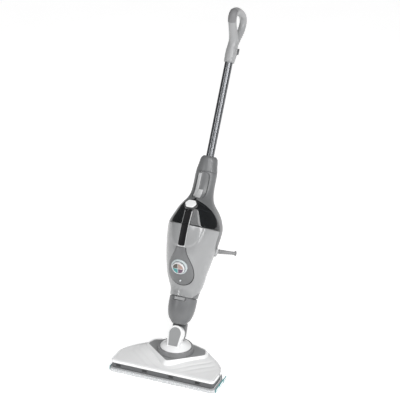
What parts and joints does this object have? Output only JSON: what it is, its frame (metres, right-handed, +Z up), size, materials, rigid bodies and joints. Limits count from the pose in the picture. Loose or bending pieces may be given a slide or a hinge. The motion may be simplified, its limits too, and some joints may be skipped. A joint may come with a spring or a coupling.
{
  "type": "steam mop",
  "caption": "Steam mop with a delta floor pad, tilting and swivelling neck, steam unit with lift-off tank and dial, and a pole with a loop handle.",
  "frame": {"origin": "centre of the pad's flat underside, where the mop meets the floor", "axes": "+Z up from the floor, -Y to the mop's front edge, +Y to the back where the pole leans, X across the pad"},
  "size_m": [0.32, 0.5667, 0.9524],
  "materials": {
    "pad_fabric": "looped microfibre, off-white with teal stripes",
    "hook_tape": "hook tape",
    "base_grey": "satin moulded",
    "black_plastic": "satin moulded",
    "steam_metal": "turned brass",
    "white_plastic": "glossy white ABS",
    "mid_grey": "fine satin",
    "dark_grey": "fine satin",
    "screw_steel": "zinc plated",
    "light_grey_gloss": "glossy metallic grey",
    "light_grey": "glossy light grey",
    "pod_grey": "satin",
    "dial_silver": "pearl silver",
    "dial_print": "four tinted quarters",
    "led_clear": "clear lens",
    "black_gloss": "gloss black",
    "rubber_grey": "soft moulded",
    "boiler_aluminium": "die cast",
    "board_green": "solder mask",
    "thermostat_tan": "phenolic",
    "hose_silicone": "silicone",
    "smoked_clear": "smoked transparent polycarbonate",
    "pole_metal": "gunmetal lacquered steel",
    "handle_grey": "satin light grey",
    "soft_grey": "soft overmould"
  },
  "bodies": {
    "head": {"mop_pad": "pad_fabric", "hook_strips": "hook_tape", "base_plate": "base_grey", "pad_clips": "black_plastic", "steam_bar": "steam_metal", "turret_bearings": "base_grey", "head_shell": "white_plastic", "delta_rim": "white_plastic", "delta_plate": "mid_grey", "seat_ring": "dark_grey", "head_screws": "screw_steel"},
    "turret": {"turret": "white_plastic", "turret_inlay": "mid_grey", "knuckle_pin": "screw_steel"},
    "unit": {"lower_neck": "dark_grey", "steam_spigot": "steam_metal", "neck_button_spring": "screw_steel", "front_shell": "light_grey_gloss", "rear_shell": "dark_grey", "neck_cover": "dark_grey", "grip_inset": "light_grey", "collar": "dark_grey", "trigger_spring": "screw_steel", "tube_release_spring": "screw_steel", "control_pod": "pod_grey", "dial_ring": "dial_silver", "led_lens": "led_clear", "body_strip": "black_gloss", "body_trim": "light_grey", "cord_guard": "rubber_grey", "cord_gland": "black_plastic", "boiler": "boiler_aluminium", "pump": "black_plastic", "circuit_board": "board_green", "thermostat": "thermostat_tan", "water_hose": "hose_silicone", "steam_hose": "hose_silicone", "tank_bulkhead": "mid_grey", "shell_screws": "screw_steel", "pole_tube": "pole_metal", "handle_loop": "handle_grey", "handle_grip": "soft_grey", "hook_screw": "screw_steel"},
    "neck_button": {"neck_button": "mid_grey"},
    "trigger": {"trigger": "light_grey"},
    "tube_release": {"tube_release": "dark_grey"},
    "dial": {"dial": "dial_silver", "dial_face": "dial_print"},
    "tank": {"water_tank": "smoked_clear", "tank_strip": "black_gloss", "tank_trim": "light_grey", "button_bezel": "black_gloss", "tank_button_spring": "screw_steel", "tank_valve": "hose_silicone"},
    "tank_button": {"tank_button": "white_plastic"},
    "cord_hook": {"cord_hook": "dark_grey"}
  },
  "joints": [
    {"name": "head_tilt", "type": "hinge", "parent": "head", "child": "turret", "pos_m": [0, 0.02, 0.04225], "axis": [-1, 0, 0], "range_deg": [-28, 30]},
    {"name": "side_swivel", "type": "hinge", "parent": "turret", "child": "unit", "pos_m": [0, 0.03322, 0.09695], "axis": [0, 0.8829, -0.4695], "range_deg": [-45, 45]},
    {"name": "neck_button_press", "type": "slide", "parent": "unit", "child": "neck_button", "axis": [0, 0.8829, -0.4695], "range_m": [0, 0.003], "stiffness_N_per_m": 600, "springref_m": -0.002, "deforming": ["neck_button_spring"]},
    {"name": "trigger_press", "type": "slide", "parent": "unit", "child": "trigger", "axis": [0, 0.8829, -0.4695], "range_m": [0, 0.003], "stiffness_N_per_m": 600, "springref_m": -0.002, "deforming": ["trigger_spring"]},
    {"name": "tube_release_press", "type": "slide", "parent": "unit", "child": "tube_release", "axis": [0, -0.8829, 0.4695], "range_m": [0, 0.0012], "stiffness_N_per_m": 800, "springref_m": -0.002, "deforming": ["tube_release_spring"]},
    {"name": "dial_turn", "type": "hinge", "parent": "unit", "child": "dial", "pos_m": [0, 0.03028, 0.30973], "axis": [0, -0.9925, -0.1219], "range_deg": [-135, 135]},
    {"name": "tank_slide", "type": "slide", "parent": "unit", "child": "tank", "axis": [0, -0.7314, 0.682], "range_m": [0, 0.1]},
    {"name": "tank_button_press", "type": "slide", "parent": "tank", "child": "tank_button", "axis": [0, 0.3746, -0.9272], "range_m": [0, 0.0025], "stiffness_N_per_m": 700, "springref_m": -0.002, "deforming": ["tank_button_spring"]},
    {"name": "cord_hook_turn", "type": "hinge", "parent": "unit", "child": "cord_hook", "pos_m": [0, 0.3975, 0.80761], "axis": [0, 0.8829, -0.4695], "range_deg": [0, 180]}
  ]
}
